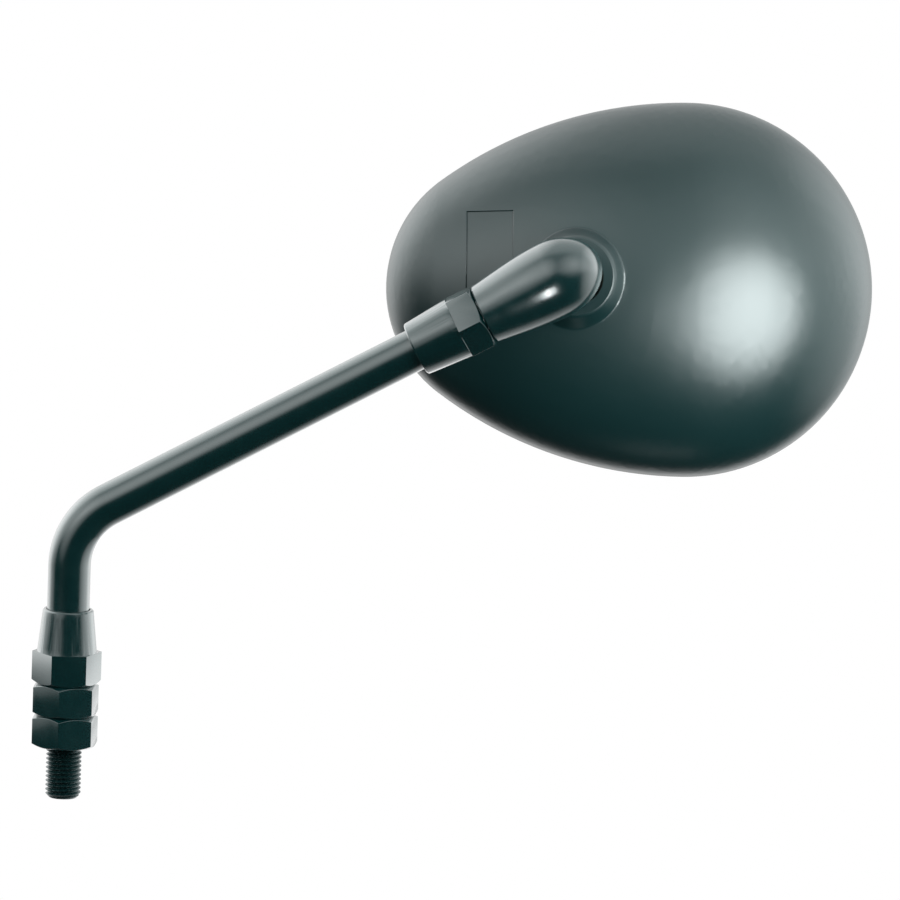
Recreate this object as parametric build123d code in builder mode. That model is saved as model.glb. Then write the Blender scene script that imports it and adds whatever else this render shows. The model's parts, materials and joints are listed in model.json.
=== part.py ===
from build123d import *
import os
from math import asin, atan, cos, degrees, radians, sin, sqrt, tan

# Left-hand motorcycle mirror: an egg-shaped moulded head on a ball joint, at the end of a bent
# threaded rod. Millimetres. The origin is on the stud's axis at the underside of the lower lock
# nut, +Z runs up the stud, +X towards the head and +Y towards the rider.

# Radial gaps
thread_gap = 0.05  # a nut's bore round the rod's thread, both drawn at the pitch line
ball_gap = 0.05  # the ball in its seats, and the seats in their pocket
rod_gap = 0.2  # the rod inside a taper nut's skirt
screw_gap = 0.05  # a screw in the post it has cut its thread in
hole_gap = 0.25  # a screw in the clamp plate and its washer
glass_gap = 0.05  # the gasket round the glass, and the shell round the gasket

# Thread
thread_radius = 5.0
thread_pitch = 1.25
pitch_line_share = 0.325  # the pitch line lies this share of the pitch inside the crest
pitch_radius = thread_radius - pitch_line_share * thread_pitch
nut_bore = pitch_radius + thread_gap
stud_length = 14.8
stud_chamfer = 1.2
bore_chamfer = 0.6

# Nuts
hex_flats = 17.0
hex_land = 8.1  # radius of the flat ring left on a chamfered face
hex_chamfer_angle = 30
lock_nut_height = 9.0
lock_nut_angle = 20
base_hex_height = 9.1
base_cone_height = 12.1
base_cone_foot = 8.45
base_cone_top = 7.2
base_nut_angle = 5
neck_hex_height = 7.7
neck_cone_height = 13.8
neck_cone_foot = 9.0
neck_cone_top = 7.85
neck_nut_angle = 2
cone_edge = 0.4
shoulder_gap = 0.4  # between the rod's shoulder and the floor of a taper nut's skirt

# Rod
rod_radius = 6.0
corner_height = 63.6  # where the straight runs of the rod would meet
arm_rise_angle = 29
bend_radius = 20.0
arm_length = 157.2  # from that corner to the stub's axis
thread_grip = 12.0  # how far the upper thread goes into the neck

# Neck
neck_length = 26.2  # from the neck's end face to the stub's axis
neck_gap = 0.3
neck_end_radius = 8.75
neck_edge = 0.3
neck_belly = 22.0  # from the end face to the thickest section
neck_belly_radius = 11.1
neck_nose = 14.1  # from the thickest section to the rounded tip
neck_flare = 0.14  # slope of the neck's side at its end face
neck_bore_spare = 1.0
neck_clock_angle = 16.8  # how far the stub is turned about the arm from straight back
stub_radius = 4.6
stub_blend = 1.5
ball_radius = 9.0
ball_reach = 24.5  # from the arm's axis to the ball's centre

# Head outline: an egg of a large round end, two flanks and a small round nose
large_end = 52.7
small_end = 84.4  # from the widest section to the tip of the nose
nose_radius = 37.0
dome_depth = 36.0
skirt_depth = 7.0
wall = 3.0
lip = 1.2
lip_round = 0.5
head_roll_angle = 1.1
panel_share = 0.6617  # middle of the sunk panel, of the way from the widest section to the nose
panel_rise = 6.4  # above the head's middle
panel_width = 12.8
panel_height = 26.0
panel_recess = 0.4

# Ball socket
socket_share = 0.3732  # of the way from the widest section to the tip of the nose
socket_lean_angle = 9.0  # of its axis, towards the nose
socket_depth = 6.3  # from the shell's outer face down to the ball's centre
boss_rise = 3.5
boss_top = 11.9
boss_foot = 13.7
boss_round = 1.0
boss_blend = 1.0
boss_root = 3.7  # where the boss starts inside the shell's wall, from the ball's centre
seat_thickness = 2.0
pocket_radius = ball_radius + seat_thickness + 2 * ball_gap
socket_wall = 2.6
mouth_radius = 8.2  # of the socket's straight mouth, which the stub swings in
plate_seat = 5.0  # from the ball's centre back to the clamp plate
front_seat_angles = (60, 84)
rear_seat_angles = (100, 148)

# Clamp
plate_thickness = 1.6
plate_rim = 15.2
plate_window_angle = 152
ear_radius = 4.3
screw_count = 3
screw_angle = 30
screw_circle = 16.4
screw_radius = 1.45
screw_reach = 5.5
screw_head_radius = 2.8
screw_head_height = 1.9
screw_head_edge = 0.7
post_radius = 3.4
post_spare = 0.5
washer_radius = 3.0
washer_height = 1.0
washer_wall = 0.6
washer_lean = 0.7

# Glass
glass_thickness = 2.0
glass_curve = 1200.0
glass_set_back = 0.4
gasket_edge = 0.6
gasket_base = 0.7
gasket_set_back = 0.5

os.makedirs("parts", exist_ok=True)

# Places along the stud
upper_nut_foot = lock_nut_height
base_nut_foot = 2 * lock_nut_height
base_cone_start = base_nut_foot + base_hex_height
rod_foot = base_cone_start + shoulder_gap

# Places along the arm
arm_direction = Vector(cos(radians(arm_rise_angle)), 0, sin(radians(arm_rise_angle)))
arm_across = Vector(sin(radians(arm_rise_angle)), 0, -cos(radians(arm_rise_angle)))
corner = Vector(0, 0, corner_height)
arm_axis = Axis(corner, arm_direction)
arm_side = Plane(corner, x_dir=arm_direction, z_dir=(0, -1, 0))
neck_foot = arm_length - neck_length
neck_nut_face = neck_foot - neck_gap
rod_end = neck_nut_face - neck_hex_height - shoulder_gap
rod_head = arm_direction * rod_end + corner

# Stub and ball
stub_direction = Vector(0, cos(radians(neck_clock_angle)), 0) + arm_across * sin(radians(neck_clock_angle))
elbow = corner + arm_direction * arm_length
stub_axis = Axis(elbow, stub_direction)
stub_side = Plane(elbow, x_dir=stub_direction, z_dir=arm_direction)
ball_centre = elbow + stub_direction * ball_reach
blend_span = sqrt((ball_radius + stub_blend) ** 2 - (stub_radius + stub_blend) ** 2)
blend_place = ball_reach - blend_span
blend_turn = degrees(atan(blend_span / (stub_radius + stub_blend)))

# Outline of the head: the flanks' radius follows from where they meet the nose smoothly
nose_centre = nose_radius - small_end
flank_radius = (nose_centre**2 + large_end**2 - nose_radius**2) / (2 * (large_end - nose_radius))
flank_centre = large_end - flank_radius
flank_turn = degrees(atan(nose_centre / flank_centre))
dome_ratio = dome_depth / large_end

# Ball's centre in the head's own frame, along the head and back from its rim
lean = radians(socket_lean_angle)
socket_place = -socket_share * small_end
socket_width = flank_centre + sqrt(flank_radius**2 - socket_place**2)
socket_along = socket_place + socket_depth * sin(lean)
socket_back = dome_ratio * socket_width - socket_depth * cos(lean)

# Where the head stands on the ball
level = (Vector(1, 0, 0) - stub_direction * stub_direction.X).normalized()
level = level.rotate(Axis((0, 0, 0), stub_direction), -head_roll_angle)
head_long = level * cos(lean) + stub_direction * sin(lean)
head_front = stub_direction * cos(lean) - level * sin(lean)
head_up = head_long.cross(head_front)
head_origin = ball_centre - head_long * socket_along + head_front * socket_back
head_place = Plane(head_origin, x_dir=head_long, z_dir=head_up).location
rim_plane = Plane(head_origin, x_dir=head_long, z_dir=-head_front)
socket_axis = Axis(ball_centre, stub_direction)
socket_side = Plane(ball_centre, x_dir=-stub_direction, z_dir=head_up)
plate_plane = Plane(
    ball_centre + stub_direction * plate_seat, x_dir=head_up, z_dir=stub_direction
)
boss_face = socket_depth + boss_rise
socket_outside = pocket_radius + socket_wall
mouth_angle = degrees(asin(mouth_radius / pocket_radius))

# Glass seat
glass_inset = lip + gasket_edge + 2 * glass_gap
glass_middle = (large_end - small_end) / 2
glass_reach = (large_end + small_end) / 2 - glass_inset
glass_sag = glass_reach**2 / (2 * glass_curve)
glass_front = skirt_depth - glass_set_back
ledge = glass_front - glass_sag - glass_thickness - gasket_base
glass_pole = head_origin + head_long * glass_middle + head_front * (glass_front - glass_curve)


def side_of(plane):
    """The plane through a nut's axis, with its height as the second coordinate."""
    return Plane(plane.origin, x_dir=plane.x_dir, z_dir=-plane.y_dir)


def hex_rise():
    """How far a nut's chamfer runs up its corners."""
    return (hex_flats / sqrt(3) - hex_land) * tan(radians(hex_chamfer_angle))


def egg_half(inset):
    """Half the head's outline, pulled in by an inset, closed along its middle."""
    with BuildLine() as outline:
        large = CenterArc((0, 0), large_end - inset, 0, 90)
        CenterArc((0, flank_centre), flank_radius - inset, 90, flank_turn)
        nose = CenterArc((nose_centre, 0), nose_radius - inset, 90 + flank_turn, 90 - flank_turn)
        Line(nose @ 1, large @ 0)
    return outline.line


def egg_face(inset, place):
    """The whole outline as a face across the head, at a place along its depth."""
    with BuildSketch(rim_plane.offset(-place)) as outline:
        with BuildLine():
            add(egg_half(inset))
        make_face()
        mirror(about=Plane.XZ)
    return outline.sketch


def egg_dome(inset, depth, front):
    """Half an egg with a straight skirt on its rim: turned about its length, then flattened."""
    flatten = depth / (large_end - inset)
    with BuildPart() as dome:
        with BuildSketch(Plane.XZ):
            with BuildLine():
                add(egg_half(inset))
            make_face()
        revolve(axis=Axis.X, revolution_arc=180)
        with BuildSketch(Plane.XZ):
            with BuildLine():
                add(egg_half(inset))
            make_face()
            mirror(about=Plane.XZ)
        extrude(amount=-front / flatten)
        scale(by=(1, flatten, 1))
    return dome


def lock_nut(foot):
    """A hexagon nut with both faces chamfered, on the stud at the height of its foot."""
    plane = Plane.XY.offset(foot)
    with BuildPart() as nut:
        with BuildSketch(plane):
            RegularPolygon(hex_flats / 2, 6, major_radius=False, rotation=lock_nut_angle)
        extrude(amount=lock_nut_height)
        with BuildSketch(side_of(plane)):
            with BuildLine():
                Polyline(
                    (nut_bore + bore_chamfer, 0),
                    (hex_land, 0),
                    (hex_flats / sqrt(3), hex_rise()),
                    (hex_flats / sqrt(3), lock_nut_height - hex_rise()),
                    (hex_land, lock_nut_height),
                    (nut_bore + bore_chamfer, lock_nut_height),
                    (nut_bore, lock_nut_height - bore_chamfer),
                    (nut_bore, bore_chamfer),
                    close=True,
                )
            make_face()
        revolve(axis=Axis.Z, mode=Mode.INTERSECT)
    return nut


def taper_nut(plane, hex_height, cone_height, cone_foot, cone_top, angle):
    """A nut with a conical skirt: threaded through its hexagon, with room for the rod above."""
    height = hex_height + cone_height
    axis = Axis(plane.origin, plane.z_dir)
    with BuildPart() as nut:
        with BuildSketch(plane):
            RegularPolygon(hex_flats / 2, 6, major_radius=False, rotation=angle)
        extrude(amount=hex_height)
        with BuildSketch(side_of(plane)):
            with BuildLine():
                Polyline(
                    (0, 0),
                    (hex_land, 0),
                    (hex_flats / sqrt(3), hex_rise()),
                    (hex_flats / sqrt(3), hex_height),
                    (0, hex_height),
                    close=True,
                )
            make_face()
        revolve(axis=axis, mode=Mode.INTERSECT)
        with BuildSketch(side_of(plane)):
            with BuildLine():
                Polyline(
                    (0, hex_height),
                    (cone_foot, hex_height),
                    (cone_top, height - cone_edge),
                    (cone_top - cone_edge, height),
                    (0, height),
                    close=True,
                )
            make_face()
        revolve(axis=axis)
        with BuildSketch(side_of(plane)):
            with BuildLine():
                Polyline(
                    (0, 0),
                    (nut_bore + bore_chamfer, 0),
                    (nut_bore, bore_chamfer),
                    (nut_bore, hex_height),
                    (rod_radius + rod_gap, hex_height),
                    (rod_radius + rod_gap, height),
                    (0, height),
                    close=True,
                )
            make_face()
        revolve(axis=axis, mode=Mode.SUBTRACT)
    return nut


def ball_seat(angles):
    """A ring of the spherical gap between the ball and its pocket, between two angles off the axis."""
    inside = ball_radius + ball_gap
    start, end = angles
    with BuildPart() as seat:
        with BuildSketch(socket_side):
            with BuildLine():
                inner = CenterArc((0, 0), inside, start, end - start)
                outer = CenterArc((0, 0), inside + seat_thickness, start, end - start)
                Line(inner @ 0, outer @ 0)
                Line(inner @ 1, outer @ 1)
            make_face()
        revolve(axis=socket_axis)
    return seat


# Rod: the bent run, the turned stud below it and the turned thread above it
with BuildPart() as stem_rod:
    with BuildLine(Plane.XZ):
        FilletPolyline(
            (0, rod_foot),
            (0, corner_height),
            (rod_head.X, rod_head.Z),
            radius=bend_radius,
        )
    with BuildSketch(Plane.XY.offset(rod_foot)):
        Circle(rod_radius)
    sweep()
    with BuildSketch(Plane.XZ):
        with BuildLine():
            Polyline(
                (0, -stud_length),
                (thread_radius - stud_chamfer, -stud_length),
                (thread_radius, stud_chamfer - stud_length),
                (thread_radius, 0),
                (pitch_radius, 0),
                (pitch_radius, rod_foot),
                (0, rod_foot),
                close=True,
            )
        make_face()
    revolve(axis=Axis.Z)
    with BuildSketch(arm_side):
        with BuildLine():
            Polyline(
                (rod_end, 0),
                (rod_end, pitch_radius),
                (neck_foot + thread_grip - stud_chamfer, pitch_radius),
                (neck_foot + thread_grip, pitch_radius - stud_chamfer),
                (neck_foot + thread_grip, 0),
                close=True,
            )
        make_face()
    revolve(axis=arm_axis)

# Nuts
lower_lock_nut = lock_nut(0)
upper_lock_nut = lock_nut(upper_nut_foot)
base_taper_nut = taper_nut(
    Plane.XY.offset(base_nut_foot),
    base_hex_height,
    base_cone_height,
    base_cone_foot,
    base_cone_top,
    base_nut_angle,
)
neck_nut_plane = Plane(
    corner + arm_direction * neck_nut_face, x_dir=(0, -1, 0), z_dir=-arm_direction
)
neck_taper_nut = taper_nut(
    neck_nut_plane,
    neck_hex_height,
    neck_cone_height,
    neck_cone_foot,
    neck_cone_top,
    neck_nut_angle,
)

# Neck: bullet-shaped body, stub and ball in one casting, with a blind thread for the rod
with BuildPart() as swivel_neck:
    with BuildSketch(arm_side):
        with BuildLine():
            end_face = Line((neck_foot, 0), (neck_foot, neck_end_radius - neck_edge))
            edge = Line(end_face @ 1, (neck_foot + neck_edge, neck_end_radius))
            side = Spline(
                edge @ 1,
                (neck_foot + neck_belly, neck_belly_radius),
                tangents=((1, neck_flare), (1, 0)),
            )
            nose = EllipticalCenterArc(
                (neck_foot + neck_belly, 0), neck_nose, neck_belly_radius, arc_size=90
            )
            Line(nose @ 0, end_face @ 0)
        make_face()
    revolve(axis=arm_axis)
    with BuildSketch(stub_side):
        with BuildLine():
            blend = CenterArc((blend_place, stub_radius + stub_blend), stub_blend, -90, blend_turn)
            ball = CenterArc((ball_reach, 0), ball_radius, 0, 90 + blend_turn)
            Polyline(ball @ 0, (0, 0), (0, stub_radius), blend @ 0)
        make_face()
    revolve(axis=stub_axis)
    with BuildSketch(Plane(arm_side.from_local_coords((neck_foot, 0)), z_dir=arm_direction)):
        Circle(nut_bore)
    extrude(amount=thread_grip + neck_bore_spare, mode=Mode.SUBTRACT)

# Seats round the ball
front_ball_seat = ball_seat(front_seat_angles)
rear_ball_seat = ball_seat(rear_seat_angles)

# Hollow of the shell: what the socket's wall and the screw posts leave of it
outer_dome = egg_dome(0, dome_depth, skirt_depth)
inner_dome = egg_dome(wall, dome_depth - wall, skirt_depth + lip)
with BuildPart() as hollow:
    with Locations(head_place):
        add(inner_dome.part)
    with BuildSketch(plate_plane):
        Circle(socket_outside)
        with PolarLocations(screw_circle, screw_count, start_angle=screw_angle):
            Circle(post_radius)
    extrude(amount=-dome_depth, mode=Mode.SUBTRACT)

# Panel sunk a little way into the back of the shell
panel_floor = egg_dome(panel_recess, dome_depth - panel_recess, skirt_depth)
with BuildPart() as panel:
    with BuildSketch(rim_plane):
        with Locations((-panel_share * small_end, panel_rise)):
            Rectangle(panel_width, panel_height)
    extrude(amount=dome_depth)
    with Locations(head_place):
        add(panel_floor.part, mode=Mode.SUBTRACT)

# Shell: flattened egg with a short skirt, a ledge for the glass and a boss round the socket
with BuildPart() as housing:
    with Locations(head_place):
        add(outer_dome.part)
    fillet(housing.edges().group_by(Axis(head_origin, head_front))[-1], lip_round)
    add(hollow.part, mode=Mode.SUBTRACT)
    extrude(
        egg_face(lip, ledge), amount=skirt_depth + lip - ledge, dir=head_front, mode=Mode.SUBTRACT
    )
    with BuildSketch(socket_side):
        with BuildLine():
            boss_slope = (boss_foot - boss_top) / boss_rise
            root = boss_foot + boss_slope * (socket_depth - boss_root)
            side = Line((boss_root, root), (boss_face - boss_round, boss_top))
            edge = TangentArc(side @ 1, (boss_face, boss_top - boss_round), tangent=side % 1)
            Polyline(edge @ 1, (boss_face, 0), (boss_root, 0), side @ 0)
        make_face()
    revolve(axis=socket_axis)
    fillet(housing.edges(Select.LAST).filter_by(GeomType.BSPLINE), boss_blend)
    add(panel.part, mode=Mode.SUBTRACT)
    with BuildSketch(socket_side):
        with BuildLine():
            pocket = CenterArc((0, 0), pocket_radius, mouth_angle, 90 - mouth_angle)
            Polyline(
                pocket @ 1,
                (-plate_seat, pocket_radius),
                (-plate_seat, 0),
                (boss_face, 0),
                (boss_face, mouth_radius),
                pocket @ 0,
            )
        make_face()
    revolve(axis=socket_axis, mode=Mode.SUBTRACT)
    with Locations(plate_plane):
        with PolarLocations(screw_circle, screw_count, start_angle=screw_angle):
            Hole(screw_radius + screw_gap, depth=screw_reach + post_spare)

# Clamp plate: three-eared flange round a dish that presses the rear seat on the ball
with BuildPart() as clamp_plate:
    with BuildSketch(plate_plane):
        Circle(plate_rim)
        with PolarLocations(screw_circle, screw_count, start_angle=screw_angle):
            Circle(ear_radius)
            Circle(screw_radius + hole_gap, mode=Mode.SUBTRACT)
    extrude(amount=plate_thickness)
    with BuildSketch(socket_side):
        with BuildLine():
            dish_start = 90 + degrees(asin((plate_seat + plate_thickness / 4) / pocket_radius))
            inner = CenterArc((0, 0), pocket_radius, dish_start, plate_window_angle - dish_start)
            outer = CenterArc(
                (0, 0), pocket_radius + plate_thickness, dish_start, plate_window_angle - dish_start
            )
            Line(inner @ 0, outer @ 0)
            Line(inner @ 1, outer @ 1)
        make_face()
    revolve(axis=socket_axis)
    with Locations(ball_centre):
        Sphere(pocket_radius, mode=Mode.SUBTRACT)

# Screws and conical washers that hold the clamp plate
washer_plane = plate_plane.offset(plate_thickness)
head_plane = washer_plane.offset(washer_height)
with BuildPart() as spring_washers:
    with Locations(washer_plane):
        with PolarLocations(screw_circle, screw_count, start_angle=screw_angle):
            Cone(
                washer_radius,
                washer_radius - washer_lean,
                washer_height,
                align=(Align.CENTER, Align.CENTER, Align.MIN),
            )
            Cone(
                washer_radius - washer_wall,
                washer_radius - washer_lean - washer_wall,
                washer_height,
                align=(Align.CENTER, Align.CENTER, Align.MIN),
                mode=Mode.SUBTRACT,
            )
with BuildPart() as clamp_screws:
    with BuildSketch(head_plane):
        with PolarLocations(screw_circle, screw_count, start_angle=screw_angle):
            Circle(screw_head_radius)
    extrude(amount=screw_head_height)
    crowns = clamp_screws.edges().filter_by(GeomType.CIRCLE).sort_by(socket_axis)[-screw_count:]
    chamfer(crowns, screw_head_edge)
    with BuildSketch(head_plane):
        with PolarLocations(screw_circle, screw_count, start_angle=screw_angle):
            Circle(screw_radius)
    extrude(amount=-(washer_height + plate_thickness + screw_reach))

# Convex glass in its gasket
with BuildPart() as mirror_glass:
    extrude(egg_face(glass_inset, ledge), amount=skirt_depth - ledge, dir=head_front)
    with Locations(glass_pole):
        Sphere(glass_curve, mode=Mode.INTERSECT)
        Sphere(glass_curve - glass_thickness, mode=Mode.SUBTRACT)
with BuildPart() as glass_space:
    extrude(egg_face(glass_inset - glass_gap, ledge), amount=skirt_depth - ledge, dir=head_front)
    with Locations(glass_pole):
        Sphere(glass_curve - glass_thickness - glass_gap, mode=Mode.SUBTRACT)
with BuildPart() as glass_gasket:
    gasket_height = skirt_depth - gasket_set_back - ledge
    extrude(egg_face(lip + glass_gap, ledge), amount=gasket_height, dir=head_front)
    extrude(egg_face(wall, ledge), amount=gasket_height, dir=head_front, mode=Mode.SUBTRACT)
    add(glass_space.part, mode=Mode.SUBTRACT)

# Each piece in a file of its own
pieces = {
    "stem_rod": stem_rod,
    "lower_lock_nut": lower_lock_nut,
    "upper_lock_nut": upper_lock_nut,
    "base_taper_nut": base_taper_nut,
    "neck_taper_nut": neck_taper_nut,
    "swivel_neck": swivel_neck,
    "front_ball_seat": front_ball_seat,
    "rear_ball_seat": rear_ball_seat,
    "housing": housing,
    "clamp_plate": clamp_plate,
    "clamp_screws": clamp_screws,
    "spring_washers": spring_washers,
    "glass_gasket": glass_gasket,
    "mirror_glass": mirror_glass,
}
for name, piece in pieces.items():
    piece.part.label = name
    export_step(piece.part, f"parts/{name}.step")
print("arm direction", arm_direction)
print("stub direction", stub_direction)
print("ball centre", ball_centre)
print("head along, up, front", head_long, head_up, head_front)
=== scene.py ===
# %% [markdown]
# # A motorcycle mirror, seen from its back
# An egg-shaped black head sits on a ball joint at the end of a bent, threaded steel rod.
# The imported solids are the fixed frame: they give every place and size. This lesson dresses
# them, so that black paint, moulded plastic, rubber and silvered glass can be told apart.

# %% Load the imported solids
import json
import math

import bmesh
import bpy
from mathutils import Matrix, Vector


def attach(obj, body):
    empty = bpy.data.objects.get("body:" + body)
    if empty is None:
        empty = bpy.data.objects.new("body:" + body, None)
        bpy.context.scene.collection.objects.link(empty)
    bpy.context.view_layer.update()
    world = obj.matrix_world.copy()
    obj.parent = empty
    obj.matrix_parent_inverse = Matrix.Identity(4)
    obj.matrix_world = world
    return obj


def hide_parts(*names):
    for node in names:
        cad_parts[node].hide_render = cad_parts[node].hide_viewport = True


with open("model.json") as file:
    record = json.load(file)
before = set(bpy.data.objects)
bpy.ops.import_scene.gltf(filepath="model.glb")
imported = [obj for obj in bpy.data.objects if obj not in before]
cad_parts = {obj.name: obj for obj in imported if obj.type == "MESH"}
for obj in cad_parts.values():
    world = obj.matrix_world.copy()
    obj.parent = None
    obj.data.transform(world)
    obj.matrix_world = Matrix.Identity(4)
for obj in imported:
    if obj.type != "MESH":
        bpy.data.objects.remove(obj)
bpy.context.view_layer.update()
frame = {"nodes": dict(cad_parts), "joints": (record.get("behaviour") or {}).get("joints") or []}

MM = 0.001
nodes = frame["nodes"]
joints = {joint["name"]: joint for joint in frame["joints"]}

# %% [markdown]
# ## Directions that the pieces share
# The rod climbs along the arm, the ball is where the head tilts, pans and spins, and the head
# has its own three directions. They could be typed in again, but the joints already hold them,
# so they are read from there and can't drift from the solids.

# %% Read the arm, the ball and the head's directions
arm = Vector(joints["neck_swivel"]["axis"]).normalized()
corner = Vector(joints["neck_swivel"]["pos_m"])
ball = Vector(joints["head_tilt"]["pos_m"])
stub = Vector(joints["head_spin"]["axis"]).normalized()
head_up = Vector(joints["head_pan"]["axis"]).normalized()
level = Vector(joints["head_tilt"]["axis"]).normalized()
socket_lean = math.radians(9)
head_long = (level * math.cos(socket_lean) + stub * math.sin(socket_lean)).normalized()
head_front = head_up.cross(head_long).normalized()
print("arm", arm[:], "head front", head_front[:])

# %% [markdown]
# ## Helpers for colour and nodes
# Paint charts and colour pickers give sRGB hex values, while shaders mix linear light, so one
# function turns the first into the second. A second one adds a node with its settings and
# links, so that a material below reads as a list of what the surface is made of. A third opens
# an empty finish.

# %% Colour and node helpers
def linear(code):
    """sRGB hex colour to linear RGBA."""
    parts = [int(code[i:i + 2], 16) / 255 for i in (1, 3, 5)]
    light = [c / 12.92 if c <= 0.04045 else ((c + 0.055) / 1.055) ** 2.4 for c in parts]
    return (*light, 1.0)


def add_node(tree, kind, inputs=None, **settings):
    """Adds a node: settings are its own properties, inputs are values or other nodes' outputs."""
    made = tree.nodes.new(kind)
    for name, value in settings.items():
        setattr(made, name, value)
    for socket, value in (inputs or {}).items():
        if isinstance(value, bpy.types.NodeSocket):
            tree.links.new(value, made.inputs[socket])
        else:
            made.inputs[socket].default_value = value
    return made


def finish_named(name):
    """An empty material: its node tree, and the coordinates of the piece itself."""
    finish = bpy.data.materials.new(name)
    finish.use_nodes = True
    finish.node_tree.nodes.clear()
    place = add_node(finish.node_tree, "ShaderNodeTexCoord").outputs["Object"]
    return finish, finish.node_tree, place


print("black enamel as linear light:", [round(c, 4) for c in linear("#053435")])

# %% [markdown]
# ## Satin black lacquer on ABS
# The shell is injection-moulded ABS under a satin black lacquer. Its matting agent leaves a very
# fine grain, which spreads the light of a lamp into a soft round glow. The grain is about 0.1 mm
# on the real shell. It is drawn at 0.7 mm, because anything finer is smaller than a pixel here.
# Slow changes of gloss show where the spray gun passed. The black leans to blue-green.

# %% Lacquered plastic of the shell
satin_abs, tree, place = finish_named("satin_black_lacquered_abs")
grain_mm, pass_mm, grain_depth_mm = 0.7, 38.0, 0.02
grain = add_node(tree, "ShaderNodeTexNoise", {
    "Vector": place, "Scale": 1 / (grain_mm * MM), "Detail": 2.0})
spray = add_node(tree, "ShaderNodeTexNoise", {
    "Vector": place, "Scale": 1 / (pass_mm * MM), "Detail": 3.0})
gloss = add_node(tree, "ShaderNodeMapRange", {
    "Value": spray.outputs["Fac"],
    "From Min": 0.3, "From Max": 0.7, "To Min": 0.30, "To Max": 0.34})
tone = add_node(tree, "ShaderNodeMix", {
    "Factor": spray.outputs["Fac"],
    "A": linear("#031E1F"), "B": linear("#042223")}, data_type="RGBA")
relief = add_node(tree, "ShaderNodeBump", {
    "Height": grain.outputs["Fac"], "Strength": 0.10, "Distance": grain_depth_mm * MM})
plastic = add_node(tree, "ShaderNodeBsdfPrincipled", {
    "Base Color": tone.outputs["Result"], "Roughness": gloss.outputs["Result"],
    "Normal": relief.outputs["Normal"], "IOR": 1.5, "Specular IOR Level": 1.0,
    "Specular Tint": linear("#F5FFFF")})
add_node(tree, "ShaderNodeOutputMaterial", {"Surface": plastic.outputs["BSDF"]})
print(satin_abs.name, "grain", grain_mm, "mm")

# %% [markdown]
# ## Gloss black enamel and black oxide
# Rod, nuts and neck are steel and zinc under a baked black enamel with a clear coat. It is
# glossy, with a faint orange peel from the spray gun: shallow waves about 4 mm apart that bend a
# reflection a little. The stud's thread stays unpainted, or no nut would run on it. It is
# blackened in a hot oxide bath and lightly oiled, so it is a little duller, with faint stains.

# %% Baked enamel of the metal pieces
gloss_enamel, tree, place = finish_named("gloss_black_enamel")
peel_mm, peel_depth_mm = 4.0, 0.05
peel = add_node(tree, "ShaderNodeTexNoise", {
    "Vector": place, "Scale": 1 / (peel_mm * MM), "Detail": 1.0})
gloss = add_node(tree, "ShaderNodeMapRange", {
    "Value": peel.outputs["Fac"],
    "From Min": 0.3, "From Max": 0.7, "To Min": 0.19, "To Max": 0.25})
tone = add_node(tree, "ShaderNodeMix", {
    "Factor": peel.outputs["Fac"],
    "A": linear("#042F30"), "B": linear("#053435")}, data_type="RGBA")
relief = add_node(tree, "ShaderNodeBump", {
    "Height": peel.outputs["Fac"], "Strength": 0.05, "Distance": peel_depth_mm * MM})
enamel = add_node(tree, "ShaderNodeBsdfPrincipled", {
    "Base Color": tone.outputs["Result"], "Roughness": gloss.outputs["Result"],
    "Normal": relief.outputs["Normal"], "IOR": 1.52, "Specular IOR Level": 1.0,
    "Specular Tint": linear("#F5FFFF"), "Coat Weight": 1.0, "Coat Roughness": 0.12,
    "Coat IOR": 1.52, "Coat Normal": relief.outputs["Normal"]})
add_node(tree, "ShaderNodeOutputMaterial", {"Surface": enamel.outputs["BSDF"]})
print(gloss_enamel.name, "orange peel", peel_mm, "mm")

# %% Black oxide of the thread
black_oxide, tree, place = finish_named("black_oxide_steel")
stain_mm = 1.8
stain = add_node(tree, "ShaderNodeTexNoise", {
    "Vector": place, "Scale": 1 / (stain_mm * MM), "Detail": 3.0})
tone = add_node(tree, "ShaderNodeMix", {
    "Factor": stain.outputs["Fac"],
    "A": linear("#0D2E2F"), "B": linear("#1A3B3C")}, data_type="RGBA")
gloss = add_node(tree, "ShaderNodeMapRange", {
    "Value": stain.outputs["Fac"], "To Min": 0.20, "To Max": 0.32})
oxide = add_node(tree, "ShaderNodeBsdfPrincipled", {
    "Base Color": tone.outputs["Result"], "Roughness": gloss.outputs["Result"],
    "Metallic": 0.4, "IOR": 1.6})
add_node(tree, "ShaderNodeOutputMaterial", {"Surface": oxide.outputs["BSDF"]})
print(black_oxide.name, "stain", stain_mm, "mm")

# %% [markdown]
# ## Rubber, nylon, zinc plate and silvered glass
# The rider's side and the inside of the joint have four more finishes. Rubber is matt and a
# little dusty, nylon is milky, zinc plate is a soft metal with cloudy crystals, and the glass is
# silvered on its back, so what shows is a clean metal behind a clear front face.

# %% Rubber of the frame round the glass
frame_rubber, tree, place = finish_named("black_epdm_rubber")
bloom_mm = 2.5
bloom = add_node(tree, "ShaderNodeTexNoise", {
    "Vector": place, "Scale": 1 / (bloom_mm * MM), "Detail": 4.0})
tone = add_node(tree, "ShaderNodeMix", {
    "Factor": bloom.outputs["Fac"],
    "A": linear("#0E1010"), "B": linear("#1C1F1F")}, data_type="RGBA")
gloss = add_node(tree, "ShaderNodeMapRange", {
    "Value": bloom.outputs["Fac"], "To Min": 0.55, "To Max": 0.8})
rubber = add_node(tree, "ShaderNodeBsdfPrincipled", {
    "Base Color": tone.outputs["Result"], "Roughness": gloss.outputs["Result"], "IOR": 1.5})
add_node(tree, "ShaderNodeOutputMaterial", {"Surface": rubber.outputs["BSDF"]})
print(frame_rubber.name, "dusty bloom", bloom_mm, "mm")

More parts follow.
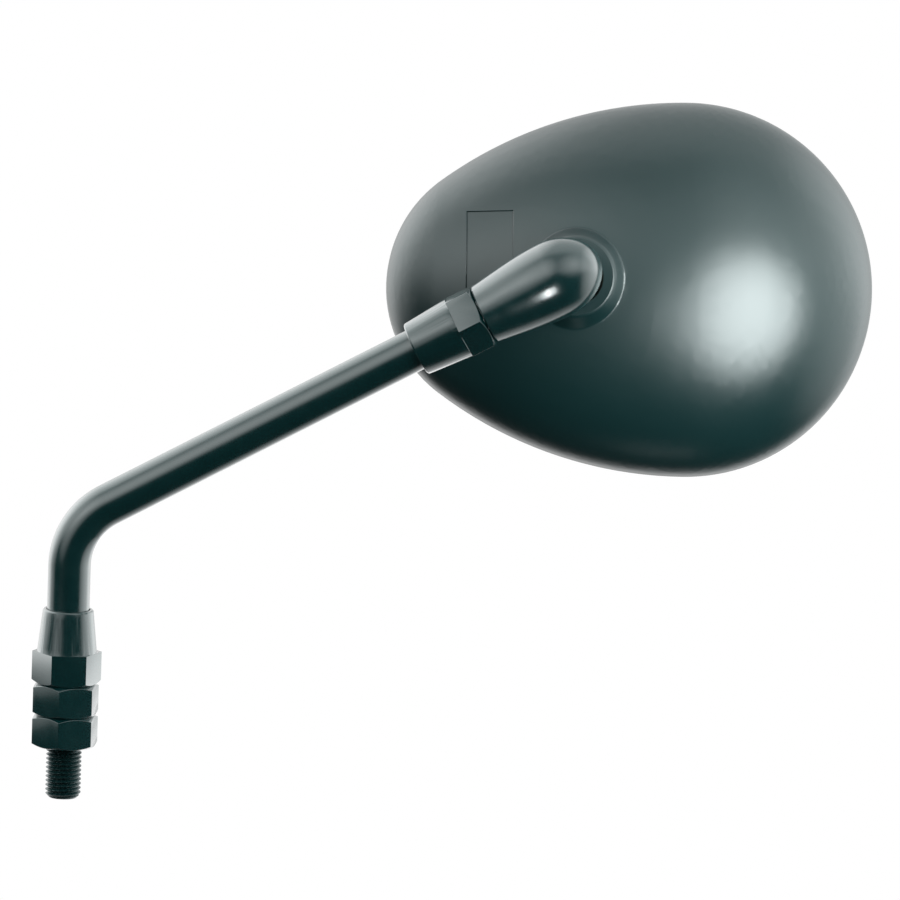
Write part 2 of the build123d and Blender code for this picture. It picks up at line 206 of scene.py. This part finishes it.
# %% Nylon of the ball seats
seat_nylon, tree, place = finish_named("natural_nylon")
cloud_mm = 6
cloud = add_node(tree, "ShaderNodeTexNoise", {
    "Vector": place, "Scale": 1 / (cloud_mm * MM), "Detail": 3.0})
tone = add_node(tree, "ShaderNodeMix", {
    "Factor": cloud.outputs["Fac"],
    "A": linear("#CFC8B2"), "B": linear("#E2DCC8")}, data_type="RGBA")
gloss = add_node(tree, "ShaderNodeMapRange", {
    "Value": cloud.outputs["Fac"], "To Min": 0.35, "To Max": 0.55})
nylon = add_node(tree, "ShaderNodeBsdfPrincipled", {
    "Base Color": tone.outputs["Result"], "Roughness": gloss.outputs["Result"], "IOR": 1.53})
add_node(tree, "ShaderNodeOutputMaterial", {"Surface": nylon.outputs["BSDF"]})
print(seat_nylon.name, "milky cloud", cloud_mm, "mm")

# %% Zinc plate of the clamp
zinc_plate, tree, place = finish_named("bright_zinc_plate")
crystal_mm = 1.5
crystals = add_node(tree, "ShaderNodeTexVoronoi", {
    "Vector": place, "Scale": 1 / (crystal_mm * MM)})
tone = add_node(tree, "ShaderNodeMix", {
    "Factor": crystals.outputs["Distance"],
    "A": linear("#AEB4B8"), "B": linear("#C9CED2")}, data_type="RGBA")
gloss = add_node(tree, "ShaderNodeMapRange", {
    "Value": crystals.outputs["Distance"], "To Min": 0.28, "To Max": 0.45})
zinc = add_node(tree, "ShaderNodeBsdfPrincipled", {
    "Base Color": tone.outputs["Result"], "Roughness": gloss.outputs["Result"],
    "Metallic": 1.0})
add_node(tree, "ShaderNodeOutputMaterial", {"Surface": zinc.outputs["BSDF"]})
print(zinc_plate.name, "crystals", crystal_mm, "mm")

# %% Silvered glass, with faint traces of wiping
silvered_glass, tree, place = finish_named("silvered_glass")
wipe_mm = 22
wiped = add_node(tree, "ShaderNodeTexNoise", {
    "Vector": place, "Scale": 1 / (wipe_mm * MM), "Detail": 5.0})
gloss = add_node(tree, "ShaderNodeMapRange", {
    "Value": wiped.outputs["Fac"],
    "From Min": 0.45, "From Max": 0.8, "To Min": 0.01, "To Max": 0.05})
tone = add_node(tree, "ShaderNodeMix", {
    "Factor": wiped.outputs["Fac"],
    "A": linear("#DDE3E4"), "B": linear("#E4E8E9")}, data_type="RGBA")
mirror = add_node(tree, "ShaderNodeBsdfPrincipled", {
    "Base Color": tone.outputs["Result"], "Roughness": gloss.outputs["Result"],
    "Metallic": 1.0, "Coat Weight": 1.0, "Coat Roughness": 0.01})
add_node(tree, "ShaderNodeOutputMaterial", {"Surface": mirror.outputs["BSDF"]})
print(silvered_glass.name, "wiping traces", wipe_mm, "mm")

# %% Put the finishes on the solids
for node, finish in {
    "housing": satin_abs, "swivel_neck": gloss_enamel, "front_ball_seat": seat_nylon,
    "rear_ball_seat": seat_nylon, "clamp_plate": zinc_plate, "clamp_screws": zinc_plate,
    "spring_washers": zinc_plate, "glass_gasket": frame_rubber, "mirror_glass": silvered_glass,
}.items():
    nodes[node].material_slots[0].material = finish
worn = sorted({piece.material_slots[0].material.name for piece in nodes.values()})
print("finishes on the solids:", worn)

# %% [markdown]
# ## The bent rod
# The rod is drawn steel, 12 mm thick, bent once round a roller. A rod is a circle carried along a
# path, which is just what a small geometry node tree does: three points, one rounded corner, one
# circle. Change the bend radius and the rod bends anew. Helpers open and close such a tree, run
# it on a piece, and keep the result as a plain mesh, because the stud needs the same.

# %% Helpers for pieces and geometry node trees
def add_piece(name, data):
    """A new object in the scene for a mesh, a lamp or a lens."""
    piece = bpy.data.objects.new(name, data)
    bpy.context.scene.collection.objects.link(piece)
    return piece


def start_tree(name, sizes):
    """A geometry node tree with a named input for each size: the tree and what it is given."""
    tree = bpy.data.node_groups.new(name, "GeometryNodeTree")
    tree.interface.new_socket("Geometry", in_out="INPUT", socket_type="NodeSocketGeometry")
    for size in sizes:
        tree.interface.new_socket(size, in_out="INPUT", socket_type="NodeSocketFloat")
    tree.interface.new_socket("Geometry", in_out="OUTPUT", socket_type="NodeSocketGeometry")
    return tree, add_node(tree, "NodeGroupInput").outputs


def end_tree(tree, geometry, finish):
    """Ends a tree with plain geometry in one finish."""
    plain = add_node(tree, "GeometryNodeRealizeInstances", {"Geometry": geometry})
    painted = add_node(tree, "GeometryNodeSetMaterial", {
        "Geometry": plain.outputs["Geometry"], "Material": finish})
    add_node(tree, "NodeGroupOutput", {"Geometry": painted.outputs["Geometry"]})


def settle(piece):
    """Keeps what a piece's modifiers make as its plain mesh, and takes the modifiers off."""
    bpy.context.view_layer.update()
    result = piece.evaluated_get(bpy.context.evaluated_depsgraph_get())
    piece.data = bpy.data.meshes.new_from_object(result)
    piece.modifiers.clear()


def grow(piece, tree, sizes):
    """Runs a geometry node tree on a piece, with its sizes, and keeps what it made."""
    modifier = piece.modifiers.new(tree.name, "NODES")
    modifier.node_group = tree
    for socket in tree.interface.items_tree:
        if socket.in_out == "INPUT" and socket.name in sizes:
            modifier[socket.identifier] = sizes[socket.name]
    settle(piece)


print("geometry node trees so far:", len(bpy.data.node_groups))

# %% Rod: a circle carried along a path with one rounded corner
rod_radius, bend_radius = 6.0 * MM, 20.0 * MM
rod_foot, rod_end = 27.5 * MM, 122.6 * MM
bend_steps, rod_sides = 24, 72
path = bpy.data.meshes.new("rod_path")
path.from_pydata([(0, 0, rod_foot), corner, corner + arm * rod_end], [(0, 1), (1, 2)], [])
rod = add_piece("bent_rod", path)
sweep, given = start_tree("rod_along_its_path", ("Rod radius", "Bend radius"))
line = add_node(sweep, "GeometryNodeMeshToCurve", {"Mesh": given["Geometry"]})
bent = add_node(sweep, "GeometryNodeFilletCurve", {
    "Curve": line.outputs["Curve"], "Radius": given["Bend radius"], "Count": bend_steps},
    mode="POLY")
ring = add_node(sweep, "GeometryNodeCurvePrimitiveCircle", {
    "Resolution": rod_sides, "Radius": given["Rod radius"]})
tube = add_node(sweep, "GeometryNodeCurveToMesh", {
    "Curve": bent.outputs["Curve"], "Profile Curve": ring.outputs["Curve"], "Fill Caps": True})
end_tree(sweep, tube.outputs["Mesh"], gloss_enamel)
grow(rod, sweep, {"Rod radius": rod_radius, "Bend radius": bend_radius})
print("rod faces:", len(rod.data.polygons))

# %% [markdown]
# ## The threaded stud
# The lower end carries a right-hand M10 thread with a pitch of 1.25 mm. A thread follows one
# rule: walk once round the stud and the groove has moved along by one pitch. So a flat grid is
# rolled up into a tube, and each point's radius is read from that rule. The end is turned to a
# cone, as a real stud is, so that a nut starts easily.

# %% Stud: sizes, and a flat grid to roll up
pitch, crest, root = 1.25 * MM, 5.0 * MM, 4.25 * MM
stud_length, stud_chamfer = 14.79 * MM, 1.2 * MM
points_round, points_along = 97, 241
thread, given = start_tree(
    "thread_by_its_rule", ("Pitch", "Crest radius", "Root radius", "Length", "Chamfer"))
sheet = add_node(thread, "GeometryNodeMeshGrid", {
    "Size X": 1.0, "Size Y": 1.0, "Vertices X": points_round, "Vertices Y": points_along})
spot = add_node(thread, "ShaderNodeSeparateXYZ", {
    "Vector": add_node(thread, "GeometryNodeInputPosition").outputs["Position"]})
round_share = add_node(thread, "ShaderNodeMath", {
    0: spot.outputs["X"], 1: 0.5}, operation="ADD")
long_share = add_node(thread, "ShaderNodeMath", {
    0: spot.outputs["Y"], 1: 0.5}, operation="SUBTRACT")
height = add_node(thread, "ShaderNodeMath", {
    0: long_share.outputs[0], 1: given["Length"]}, operation="MULTIPLY")
print("stud:", round(stud_length / pitch, 1), "turns of thread")

# %% Stud: the radius from the thread's rule
flat_share = 0.06  # of the pitch, flat at the crest and at the root
turns = add_node(thread, "ShaderNodeMath", {
    0: height.outputs[0], 1: given["Pitch"]}, operation="DIVIDE")
phase = add_node(thread, "ShaderNodeMath", {
    0: turns.outputs[0], 1: round_share.outputs[0]}, operation="SUBTRACT")
ridge = add_node(thread, "ShaderNodeMath", {
    0: phase.outputs[0], 1: 0.5}, operation="PINGPONG")
flank = add_node(thread, "ShaderNodeMapRange", {
    "Value": ridge.outputs[0], "From Min": flat_share, "From Max": 0.5 - flat_share,
    "To Min": given["Root radius"], "To Max": given["Crest radius"]})
from_tip = add_node(thread, "ShaderNodeMath", {
    0: height.outputs[0], 1: given["Length"]}, operation="ADD")
cone_foot = add_node(thread, "ShaderNodeMath", {
    0: given["Crest radius"], 1: given["Chamfer"]}, operation="SUBTRACT")
cone = add_node(thread, "ShaderNodeMath", {
    0: cone_foot.outputs[0], 1: from_tip.outputs[0]}, operation="ADD")
turned = add_node(thread, "ShaderNodeMath", {
    0: flank.outputs["Result"], 1: cone.outputs[0]}, operation="MINIMUM")
print("thread from radius", round(root / MM, 2), "to", round(crest / MM, 2), "mm")

# %% Stud: the grid rolled up, its ends drawn to a point and closed
last_row = 0.4999  # the grid runs from -0.5 to 0.5, so only its two end rows lie past this
weld_gap = 0.001 * MM
inside = add_node(thread, "ShaderNodeMath", {0: spot.outputs["Y"]}, operation="ABSOLUTE")
open_part = add_node(thread, "ShaderNodeMath", {
    0: inside.outputs[0], 1: last_row}, operation="LESS_THAN")
radius = add_node(thread, "ShaderNodeMath", {
    0: turned.outputs[0], 1: open_part.outputs[0]}, operation="MULTIPLY")
angle = add_node(thread, "ShaderNodeMath", {
    0: round_share.outputs[0], 1: math.tau}, operation="MULTIPLY")
across = add_node(thread, "ShaderNodeMath", {0: angle.outputs[0]}, operation="COSINE")
deep = add_node(thread, "ShaderNodeMath", {0: angle.outputs[0]}, operation="SINE")
east = add_node(thread, "ShaderNodeMath", {
    0: radius.outputs[0], 1: across.outputs[0]}, operation="MULTIPLY")
north = add_node(thread, "ShaderNodeMath", {
    0: radius.outputs[0], 1: deep.outputs[0]}, operation="MULTIPLY")
point = add_node(thread, "ShaderNodeCombineXYZ", {
    "X": east.outputs[0], "Y": north.outputs[0], "Z": height.outputs[0]})
rolled = add_node(thread, "GeometryNodeSetPosition", {
    "Geometry": sheet.outputs["Mesh"], "Position": point.outputs["Vector"]})
closed = add_node(thread, "GeometryNodeMergeByDistance", {
    "Geometry": rolled.outputs["Geometry"], "Distance": weld_gap})
end_tree(thread, closed.outputs["Geometry"], black_oxide)
stud = add_piece("threaded_stud", bpy.data.meshes.new("threaded_stud"))
grow(stud, thread, {
    "Pitch": pitch, "Crest radius": crest, "Root radius": root,
    "Length": stud_length, "Chamfer": stud_chamfer})
print("stud faces:", len(stud.data.polygons))

# %% [markdown]
# ## The nuts
# Two lock nuts hold the mirror in its bracket, and two taper nuts hide the ends of the rod. They
# are cold-forged, so no edge is truly sharp, and the enamel rounds them more. The solids have the
# right shape but knife edges. A merged copy with a narrow bevel keeps the shape, and the
# bevel catches a thin line of light along every edge, as in the photograph.

# %% Helpers: a merged copy of a solid, and the mesh that it becomes
merge_gap = 0.002 * MM


def merged_copy(node):
    """A solid's mesh for editing, with the corners of its loose triangles merged."""
    shape = bmesh.new()
    shape.from_mesh(nodes[node].data)
    bmesh.ops.remove_doubles(shape, verts=shape.verts, dist=merge_gap)
    return shape


def keep_mesh(shape, name):
    """Turns an edited shape into a named mesh."""
    mesh = bpy.data.meshes.new(name)
    shape.to_mesh(mesh)
    shape.free()
    return mesh


print("corners closer than", merge_gap / MM, "mm are merged")

# %% Nuts: merged copies of the solids with narrow rounded edges
nut_edge, nut_edge_steps = 0.3 * MM, 3
flat_angle, sharp_angle = math.radians(0.5), math.radians(25)


def soften(node):
    """A merged copy of a nut whose edges are rounded by a narrow bevel."""
    shape = merged_copy(node)
    bmesh.ops.dissolve_limit(
        shape, angle_limit=flat_angle, verts=shape.verts, edges=shape.edges)
    piece = add_piece(node + "_rounded", keep_mesh(shape, node + "_rounded"))
    piece.data.shade_smooth()
    edge = piece.modifiers.new("rounded_edges", "BEVEL")
    edge.width, edge.segments, edge.limit_method = nut_edge, nut_edge_steps, "ANGLE"
    edge.angle_limit, edge.harden_normals = sharp_angle, True
    settle(piece)
    return piece


nut_bodies = {
    "lower_lock_nut": "lower_nut", "upper_lock_nut": "upper_nut",
    "base_taper_nut": "base_nut", "neck_taper_nut": "neck_nut"}
rounded_nuts = []
for node, body in nut_bodies.items():
    nut = soften(node)
    nut.data.materials.append(gloss_enamel)
    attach(nut, body)
    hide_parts(node)
    rounded_nuts.append(nut)
    print(nut.name, "faces:", len(nut.data.polygons))

# %% [markdown]
# ## The shell and its sunk panel
# A moulded panel has no knife edge either: the steel of the mould is rounded by hand, and the
# lacquer fills what is left. The solid shell has the right shape with a sharp rim round its
# panel, which shows as a black line. So a merged copy gets a rounded rim there, and its shape
# stays as it is elsewhere. The rim's edges are found by where they lie in the head's own
# directions. The shading is then weighted by the size of the faces, so that slivers don't show.

# %% Shell: where the sunk panel lies
# In mm from the ball: along the head, up, and how far towards the glass.
panel_sides, panel_ends, panel_reach = (-31.7, -18.9), (-6.6, 19.4), 9.0
panel_slack = 0.1


def on_panel(edge):
    """Is the middle of an edge on the sunk panel or on its rim?"""
    spot = (edge.verts[0].co + edge.verts[1].co) / 2 - ball
    along, above, glassward = (spot.dot(way) / MM for way in (head_long, head_up, head_front))
    return (panel_sides[0] - panel_slack < along < panel_sides[1] + panel_slack
            and panel_ends[0] - panel_slack < above < panel_ends[1] + panel_slack
            and glassward < panel_reach)


print("panel in mm:", [round(high - low, 1) for low, high in (panel_sides, panel_ends)])

# %% Shell: a merged copy with the panel's rim rounded
rim_round, rim_steps, rim_angle = 0.35 * MM, 4, math.radians(60)
shape = merged_copy("housing")
rim = [
    edge for edge in shape.edges
    if on_panel(edge) and edge.is_convex and edge.calc_face_angle(0) > rim_angle]
rounded = set(bmesh.ops.bevel(
    shape, geom=rim, offset=rim_round, segments=rim_steps, profile=0.5,
    affect="EDGES", clamp_overlap=True)["faces"])
for face in shape.faces:
    face.smooth = True
for edge in shape.edges:
    border = sum(face in rounded for face in edge.link_faces) == 1
    edge.smooth = not border and edge.calc_face_angle(0) < sharp_angle
moulded_shell = add_piece("moulded_shell", keep_mesh(shape, "moulded_shell"))
moulded_shell.data.materials.append(satin_abs)
even = moulded_shell.modifiers.new("even_shading", "WEIGHTED_NORMAL")
even.mode, even.keep_sharp = "FACE_AREA", True
settle(moulded_shell)
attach(moulded_shell, "head")
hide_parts("housing")
print("shell faces:", len(moulded_shell.data.polygons), "rim edges rounded:", len(rim))

# %% [markdown]
# ## Putting the rod together
# The rod, its threaded stud and the two plain cores that sit inside the nuts and the neck are one
# bar of steel, so they become one object that stands for the solid rod.

# %% Rod, stud and cores as one piece
core_radius, core_end, core_sides = 4.594 * MM, 143.0 * MM, 48
crease_angle = math.radians(32)
shape = bmesh.new()
shape.from_mesh(rod.data)
painted_faces = len(shape.faces)
shape.from_mesh(stud.data)
shape.faces.ensure_lookup_table()
for face in shape.faces[painted_faces:]:
    face.material_index = 1
cores = ((0, rod_foot, Vector((0, 0, 1)), Vector()), (rod_end, core_end, arm, corner))
for low, high, axis, start in cores:
    turn = axis.to_track_quat("Z", "Y").to_matrix().to_4x4()
    middle = Matrix.Translation(start + axis * (low + high) / 2)
    bmesh.ops.create_cone(
        shape, cap_ends=True, segments=core_sides, radius1=core_radius, radius2=core_radius,
        depth=high - low, matrix=middle @ turn)
bmesh.ops.recalc_face_normals(shape, faces=shape.faces)
steel = keep_mesh(shape, "threaded_rod")
steel.shade_smooth()
steel.set_sharp_from_angle(angle=crease_angle)
steel.materials.append(gloss_enamel)
steel.materials.append(black_oxide)
threaded_rod = add_piece("threaded_rod", steel)
for part in (rod, stud):
    bpy.data.objects.remove(part)
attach(threaded_rod, "stem")
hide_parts("stem_rod")
print("threaded rod faces:", len(steel.polygons))

# %% [markdown]
# ## Floor and studio
# The mirror is held by its stud, so it hangs free, high above a plain pale floor. A floor close
# by would be mirrored in the underside of the shell. White card stands behind the mirror and a
# grey sheet hangs over it. The room in front and below is dark, and that is why the lower half of
# every black surface goes almost to black. The world plays card, sheet and room: the direction
# that a ray leaves in decides which it meets. The camera sees white card everywhere.

# %% Pale floor that fades into the white of the studio
floor_centre, floor_radius, floor_sides = Vector((0.1, 0.02, -4.0)), 0.6, 96
fade_start, fade_end = 0.02, 0.45
shape = bmesh.new()
bmesh.ops.create_circle(shape, cap_ends=True, segments=floor_sides, radius=floor_radius)
floor = add_piece("pale_floor", keep_mesh(shape, "pale_floor"))
floor.data.transform(Matrix.Translation(floor_centre))
pale_card, tree, place = finish_named("pale_card")
centred = add_node(tree, "ShaderNodeMapping", {
    "Vector": place, "Location": -floor_centre / floor_radius,
    "Scale": (1 / floor_radius,) * 3})
fade = add_node(tree, "ShaderNodeTexGradient", {
    "Vector": centred.outputs["Vector"]}, gradient_type="SPHERICAL")
opaque = add_node(tree, "ShaderNodeMapRange", {
    "Value": fade.outputs["Fac"], "From Min": fade_start, "From Max": fade_end},
    interpolation_type="SMOOTHSTEP")
card = add_node(tree, "ShaderNodeBsdfDiffuse", {"Color": linear("#EDEDEB")})
clear = add_node(tree, "ShaderNodeBsdfTransparent")
mixed = add_node(tree, "ShaderNodeMixShader", {
    0: opaque.outputs["Result"], 1: clear.outputs["BSDF"], 2: card.outputs["BSDF"]})
add_node(tree, "ShaderNodeOutputMaterial", {"Surface": mixed.outputs["Shader"]})
floor.data.materials.append(pale_card)
print("floor", floor_radius, "m, fading at its edge")

# %% World: which way leads to the card, the sheet and the room
sheet_tilt, sheet_low, sheet_full = 0.3, -0.05, 0.25
card_tilt, card_low, card_full = 0.5, 0.20, 0.70
studio = bpy.data.worlds.new("studio")
bpy.context.scene.world = studio
studio.use_nodes = True
tree = studio.node_tree
tree.nodes.clear()
way = add_node(tree, "ShaderNodeSeparateXYZ", {
    "Vector": add_node(tree, "ShaderNodeTexCoord").outputs["Generated"]})
lean = add_node(tree, "ShaderNodeMath", {
    0: way.outputs["Y"], 1: sheet_tilt, 2: way.outputs["Z"]}, operation="MULTIPLY_ADD")
over = add_node(tree, "ShaderNodeMapRange", {
    "Value": lean.outputs[0], "From Min": sheet_low, "From Max": sheet_full},
    interpolation_type="SMOOTHSTEP")
back = add_node(tree, "ShaderNodeMath", {
    0: way.outputs["Z"], 1: card_tilt, 2: way.outputs["Y"]}, operation="MULTIPLY_ADD")
behind = add_node(tree, "ShaderNodeMapRange", {
    "Value": back.outputs[0], "From Min": card_low, "From Max": card_full},
    interpolation_type="SMOOTHSTEP")
print("world:", studio.name)

# %% World: white card behind, grey sheet over the top, dark room in front
sheet_level, card_level = 0.45, 1.0
seen = add_node(tree, "ShaderNodeLightPath").outputs
dark_room = add_node(tree, "ShaderNodeBackground", {"Color": linear("#262B2B")})
grey_sheet = add_node(tree, "ShaderNodeBackground", {
    "Color": linear("#FFFFFF"), "Strength": sheet_level})
white_card = add_node(tree, "ShaderNodeBackground", {
    "Color": linear("#FFFFFF"), "Strength": card_level})
room = add_node(tree, "ShaderNodeMixShader", {
    0: over.outputs["Result"], 1: dark_room.outputs[0], 2: grey_sheet.outputs[0]})
around = add_node(tree, "ShaderNodeMixShader", {
    0: behind.outputs["Result"], 1: room.outputs[0], 2: white_card.outputs[0]})
direct = add_node(tree, "ShaderNodeMath", {
    0: seen["Is Camera Ray"], 1: seen["Is Transmission Ray"]}, operation="MAXIMUM")
mirrored = add_node(tree, "ShaderNodeMath", {
    0: seen["Is Glossy Ray"], 1: behind.outputs["Result"]}, operation="MULTIPLY")
card_share = add_node(tree, "ShaderNodeMath", {
    0: direct.outputs[0], 1: mirrored.outputs[0]}, operation="MAXIMUM")
background = add_node(tree, "ShaderNodeMixShader", {
    0: card_share.outputs[0], 1: around.outputs[0], 2: white_card.outputs[0]})
add_node(tree, "ShaderNodeOutputWorld", {"Surface": background.outputs[0]})
print("studio: white card", card_level, "grey sheet", sheet_level)

# %% [markdown]
# ## Lamps
# Five wide discs stand round the mirror. Each has a grid in front, so that its rim fades and the
# glossy paint shows a soft band instead of a hard-edged spot. A round lamp close to the head
# gives the broad glow on the shell. A small oval one gives the bright point on the neck. It lies
# across the arm, because a tube draws a reflection out along itself. A flag, the black card of a
# studio, keeps a lamp off the pieces that it isn't meant for. Here light linking does that.

# %% Wide discs with a fading rim
def aim(name, lamp, target, azimuth, elevation, distance):
    """Hangs a lamp so that it looks at its target from an azimuth and elevation in degrees."""
    a, e = math.radians(azimuth), math.radians(elevation)
    way = Vector((math.sin(a) * math.cos(e), -math.cos(a) * math.cos(e), math.sin(e)))
    stand = add_piece(name, lamp)
    stand.location = target + way * distance
    stand.rotation_euler = way.to_track_quat("Z", "Y").to_euler()
    stand.visible_camera = False
    return stand


def soft_disc(name, azimuth, elevation, half_angle, level):
    """A disc one metre off, seen under an angle in degrees; at its middle, level 1 is white."""
    half = math.radians(half_angle)
    lamp = bpy.data.lights.new(name, "AREA")
    lamp.shape, lamp.size, lamp.spread = "DISK", 2 * math.tan(half), 2 * half
    lamp.energy = level * (math.pi * math.tan(half)) ** 2 * (1 - half / math.tan(half))
    return aim(name, lamp, ball, azimuth, elevation, 1.0)


soft_disc("left_disc", -120, 20, 48, 2.1)
soft_disc("left_front_disc", -46, 28, 38, 1.65)
soft_disc("right_disc", 104, 4, 52, 2.2)
soft_disc("right_front_disc", 42, 40, 38, 1.2)
edge_disc = soft_disc("edge_disc", 152, -50, 40, 1.0)
print("soft discs:", len(bpy.data.lights))

# %% Round lamp for the shell and oval lamp for the neck
def shaded_lamp(name, target, azimuth, elevation, distance, width, watts, beam):
    """A round lamp in a shade, with its beam angle in degrees."""
    lamp = bpy.data.lights.new(name, "SPOT")
    lamp.energy, lamp.shadow_soft_size = watts, width / 2
    lamp.spot_size, lamp.spot_blend = math.radians(beam), 1.0
    return aim(name, lamp, target, azimuth, elevation, distance)


def oval_lamp(name, target, azimuth, elevation, distance, width_and_height, roll, watts):
    """An oval lamp, rolled about its own axis by an angle in degrees."""
    lamp = bpy.data.lights.new(name, "AREA")
    lamp.shape, lamp.energy = "ELLIPSE", watts
    lamp.size, lamp.size_y = width_and_height
    stand = aim(name, lamp, target, azimuth, elevation, distance)
    stand.rotation_euler.rotate_axis("Z", math.radians(roll))
    return stand


shell_glow = ball + (head_long * 45.3 - head_up * 15.5 - head_front * 6.0) * MM
neck_glow = Vector((135.5, -9.5, 134.0)) * MM
shell_lamp = shaded_lamp("shell_lamp", shell_glow, 30, 3.5, 0.18, 0.24, 6.9, 70)
neck_lamp = oval_lamp("neck_lamp", neck_glow, 1.5, -21, 0.30, (0.022, 0.130), 26.6, 0.15)
print("lamps:", [lamp.name for lamp in bpy.data.lights])

# %% Flags: which lamp lights which pieces
def flag(lamp, pieces):
    """Lets a lamp light these pieces only."""
    lamp.light_linking.receiver_collection = bpy.data.collections.new(lamp.name + "_flag")
    lit = lamp.light_linking.receiver_collection
    for piece in pieces:
        lit.objects.link(piece)
    for entry in lit.collection_objects:
        entry.light_linking.link_state = "INCLUDE"
    print(lamp.name, "lights only", [piece.name for piece in pieces])


flag(shell_lamp, [moulded_shell])
flag(neck_lamp, [nodes["swivel_neck"]])
flag(edge_disc, [nodes["swivel_neck"], threaded_rod, *rounded_nuts])

# %% [markdown]
# ## Camera
# The photograph looks at the back of the head from straight behind, a little from above, through
# a long lens. The picture is turned by a degree or two, so the camera is rolled by as much.

# %% Camera at the photograph's angle
view_elevation, view_roll = math.radians(10.5), math.radians(1.8)
frame_width, distance, sensor_mm = 0.2535, 12.0, 36
centre_right, centre_up = 0.1060, 0.0866
view_right = Vector((1, 0, 0))
view_up = Vector((0, math.sin(view_elevation), math.cos(view_elevation)))
view_back = Vector((0, -math.cos(view_elevation), math.sin(view_elevation)))
looked_at = view_right * centre_right + view_up * centre_up
lens = bpy.data.cameras.new("long_lens")
lens.sensor_width = sensor_mm
lens.lens = sensor_mm * distance / frame_width
lens.clip_end = 30
camera = add_piece("camera", lens)
turn = Matrix((view_right, view_up, view_back)).transposed().to_4x4()
stand = Matrix.Translation(looked_at + view_back * distance)
camera.matrix_world = stand @ turn @ Matrix.Rotation(view_roll, 4, "Z")
bpy.context.scene.camera = camera
bpy.context.scene.view_settings.view_transform = "Standard"
print("lens", round(lens.lens), "mm at", distance, "m")
